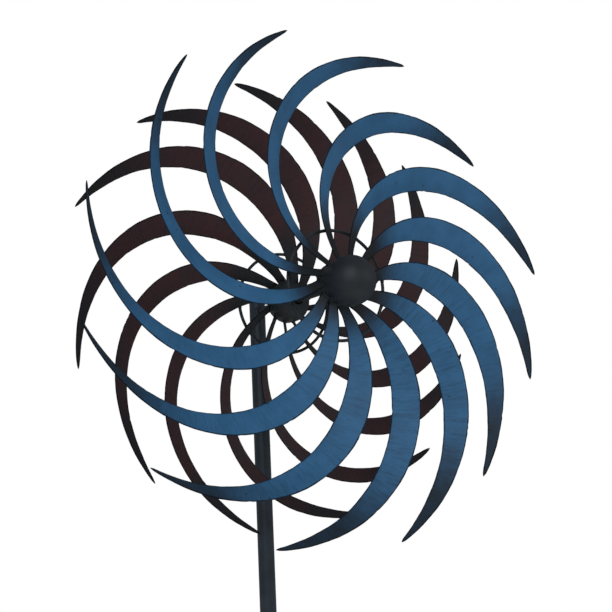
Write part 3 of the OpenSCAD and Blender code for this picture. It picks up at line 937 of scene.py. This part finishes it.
def head_welds():
    """Beads round the boss in front and round the axle's end behind the post."""

    def on_post(r, side, lift):
        path = []
        for a in np.linspace(0, 2 * math.pi, 64, endpoint=False):
            x = r * math.cos(a)
            y = side * (math.sqrt(POLE_R**2 - x**2) + lift)
            path.append((x, y, AXLE_Z / MM + r * math.sin(a)))
        return path

    front = bead(on_post(BOSS_R + 0.2, -1, 0.1), 1.0, 11, True)
    back = bead(on_post(AXLE_R + 0.3, 1, 0), 0.8, 12, True)
    parts = [front, back]
    add_piece("post_weld_beads", *joined(parts), "pole_paint", "head")


def blade_frame(kind, i, t):
    """Centre, across and up directions of a blade at t, in place, in millimetres."""
    t = np.array([t])
    at, way = centre_line(kind, t)
    turned_by, bent_by = bend_of(kind, i)
    out = through(0, kind["arc"][0], kind["arc"][1], t) + bent_by * MM * t**2
    p = np.radians(through(*kind["pitch"], t))
    centre = np.c_[at[:, 0], -out, at[:, 1]][0]
    side = np.c_[-way[:, 1] * np.cos(p), -np.sin(p), way[:, 0] * np.cos(p)][0]
    face = np.c_[way[:, 1] * np.sin(p), -np.cos(p), -way[:, 0] * np.sin(p)][0]
    turn = np.array(Matrix.Rotation(math.radians(kind["turn"] + i * 360 / BLADES + turned_by), 3, "Y"))
    flip = np.array([kind["mirror"], 1, 1])
    way3 = np.array([way[0, 0], 0, way[0, 1]])
    base = np.array([0, -kind["reach"], AXLE_Z])
    return [(base + turn @ (centre * flip)) / MM] + [turn @ (v * flip) for v in (side, face, way3)]


def hub_beads(kind, i):
    """A bead each side of blade i's tang, where it runs into the drum."""
    centre, side, face, way = blade_frame(kind, i, 0)

    def from_axle(s):
        back = centre - way * s
        return np.hypot(back[0], back[2] - AXLE_Z / MM)

    foot = centre - way * next(s for s in np.arange(0, 13, 0.1) if from_axle(s) < DRUM_R + 0.2)
    beads = []
    for n, up in enumerate((1, -1)):
        path = [foot + side * a + face * up * 0.9 for a in np.linspace(-6, 6, 18)]
        path = [rim_point(p, DRUM_R + 0.1) for p in path]
        beads.append(bead(path, 1.1, 40 + 2 * i + n))
    return beads


def ring_bead(kind, i, ring_y):
    """A bead where blade i's back edge meets the ring."""
    best = min(np.arange(0.02, 0.2, 0.001), key=lambda t: abs(ring_gap(kind, i, t)))
    edge = back_edge(kind, i, best)
    radial = np.array([edge[0], 0, edge[2] - AXLE_Z / MM])
    radial /= np.linalg.norm(radial)
    tangent = np.array([radial[2], 0, -radial[0]])
    middle = np.array([0, -ring_y, AXLE_Z / MM]) + radial * RING_R
    middle = middle * 0.55 + edge * 0.45
    return bead([middle + tangent * a for a in np.linspace(-3.2, 3.2, 12)], 1.9, 80 + i)


def rotor_welds(kind, prefix, body, ring_y):
    parts = []
    for i in range(BLADES):
        parts += hub_beads(kind, i) + [ring_bead(kind, i, ring_y)]
    add_piece(prefix + "_weld_beads", *joined(parts), "hub_paint", body)


def rim_point(p, r):
    """The point moved in or out to radius r from the axle."""
    flat = np.array([p[0], 0, p[2] - AXLE_Z / MM])
    return np.array([0, p[1], AXLE_Z / MM]) + flat * (r / np.linalg.norm(flat))


def back_edge(kind, i, t):
    """The point at t on blade i's back edge, in millimetres."""
    centre, side = blade_frame(kind, i, t)[:2]
    return centre - side * sheet_width(np.array([t]))[0] / 2 / MM


def ring_gap(kind, i, t):
    """How far the blade's back edge is from the ring's radius at t."""
    edge = back_edge(kind, i, t)
    return np.hypot(edge[0], edge[2] - AXLE_Z / MM) - RING_R


hubs()
wire_ring("wire_ring_front", "front_ring", FRONT_RING_Y, "hub_paint", "front_rotor")
wire_ring("wire_ring_rear", "rear_ring", REAR_RING_Y, "hub_paint", "rear_rotor")
turned_head()
turned_stand()
screws()
bar()
fork_welds()
head_welds()
rotor_welds(FRONT, "front", "front_rotor", FRONT_RING_Y)
rotor_welds(REAR, "rear", "rear_rotor", REAR_RING_Y)


# ---- Floor and light ----

FLOOR_R = 3.0
FLOOR_T = 0.004
SOFT_LIGHT = 0.30


def make_floor():
    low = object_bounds()[0].z
    under = low - FLOOR_T
    verts, faces = lathe([(0, under), (FLOOR_R, under), (FLOOR_R, low), (0, low)], sides=128)
    mesh = bpy.data.meshes.new("floor")
    mesh.from_pydata([tuple(v) for v in verts], [], faces)
    floor = bpy.data.objects.new("floor", mesh)
    bpy.context.scene.collection.objects.link(floor)
    n = Nodes("pale_floor")
    tone = n.mix(n.noise(n.place(), 3), linear(250, 250, 249), linear(244, 244, 243))
    n.feed(n.shader.inputs["Base Color"], tone)
    n.shader.inputs["Roughness"].default_value = 0.9
    n.shader.inputs["Emission Color"].default_value = (1, 1, 1, 1)
    n.shader.inputs["Emission Strength"].default_value = 0.35
    floor.data.materials.append(n.material)


def make_world():
    """White all round for the eye, and a dimmer soft light on the object."""
    world = bpy.data.worlds.new("studio")
    world.use_nodes = True
    tree = world.node_tree
    tree.nodes.clear()
    seen = tree.nodes.new("ShaderNodeBackground")
    seen.inputs["Color"].default_value = (1, 1, 1, 1)
    seen.inputs["Strength"].default_value = 1.0
    soft = tree.nodes.new("ShaderNodeBackground")
    soft.inputs["Color"].default_value = (0.92, 0.96, 1, 1)
    soft.inputs["Strength"].default_value = SOFT_LIGHT
    path = tree.nodes.new("ShaderNodeLightPath")
    mix = tree.nodes.new("ShaderNodeMixShader")
    out = tree.nodes.new("ShaderNodeOutputWorld")
    tree.links.new(path.outputs["Is Camera Ray"], mix.inputs[0])
    tree.links.new(soft.outputs[0], mix.inputs[1])
    tree.links.new(seen.outputs[0], mix.inputs[2])
    tree.links.new(mix.outputs[0], out.inputs[0])
    bpy.context.scene.world = world


def area_light(name, place, size, power):
    light = bpy.data.lights.new(name, "AREA")
    light.shape = "DISK"
    light.size = size
    light.energy = power
    lamp = bpy.data.objects.new(name, light)
    lamp.location = place
    to_axle = Vector((0, -0.15, AXLE_Z)) - lamp.location
    lamp.rotation_euler = to_axle.to_track_quat("-Z", "Y").to_euler()
    bpy.context.scene.collection.objects.link(lamp)


bpy.context.scene.view_settings.view_transform = "Standard"
make_world()
make_floor()
area_light("key", (-1.5, -2.4, 2.6), 2.6, 44)
area_light("fill", (1.6, -2.2, 2.2), 2.0, 11)
